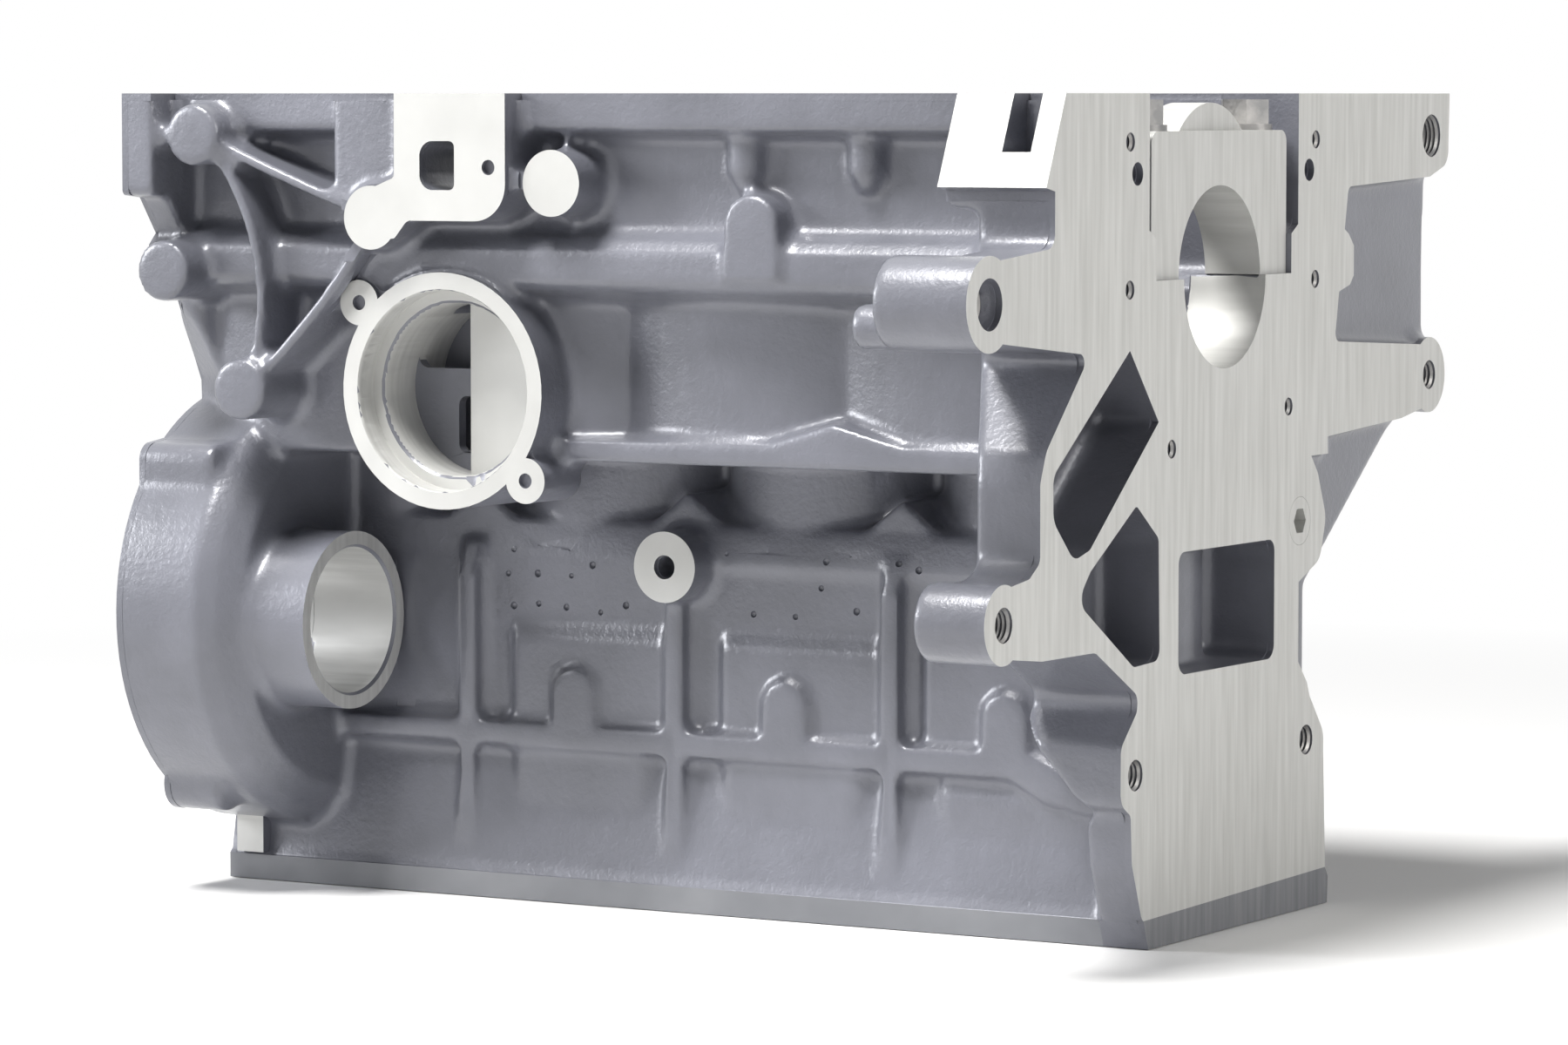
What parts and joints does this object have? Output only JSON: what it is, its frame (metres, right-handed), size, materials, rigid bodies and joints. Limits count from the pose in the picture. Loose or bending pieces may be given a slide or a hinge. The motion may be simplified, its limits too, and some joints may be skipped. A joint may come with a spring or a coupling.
{
  "type": "engine block",
  "caption": "Inline four-cylinder cast-iron engine block upside down on its deck, with main bearing caps, a bell-housing flange, ribbed water jacket, filter ring and pump housing.",
  "frame": {"origin": "on the deck face, over the middle of the bore line, midway along the crankshaft", "axes": "+X along the crankshaft towards the flywheel face, +Y towards the side with the oil gallery, +Z from the deck to the pan rail"},
  "size_m": [0.357, 0.3473, 0.271],
  "materials": {
    "cast_iron": "as cast, dark and slightly glossy, machined bright on its faces and bores",
    "machined_iron": "machined",
    "bolt_steel": "blackened steel",
    "plug_steel": "pressed steel"
  },
  "bodies": {
    "root": {"block": "cast_iron", "main_cap_1": "machined_iron", "main_cap_2": "machined_iron", "main_cap_3": "machined_iron", "main_cap_4": "machined_iron", "main_cap_5": "machined_iron", "main_bolt_1a": "bolt_steel", "main_bolt_1b": "bolt_steel", "main_bolt_2a": "bolt_steel", "main_bolt_2b": "bolt_steel", "main_bolt_3a": "bolt_steel", "main_bolt_3b": "bolt_steel", "main_bolt_4a": "bolt_steel", "main_bolt_4b": "bolt_steel", "main_bolt_5a": "bolt_steel", "main_bolt_5b": "bolt_steel", "core_plug_1": "plug_steel", "core_plug_2": "plug_steel", "core_plug_3": "plug_steel", "gallery_plug_front": "plug_steel", "gallery_plug_rear": "plug_steel"}
  },
  "joints": []
}
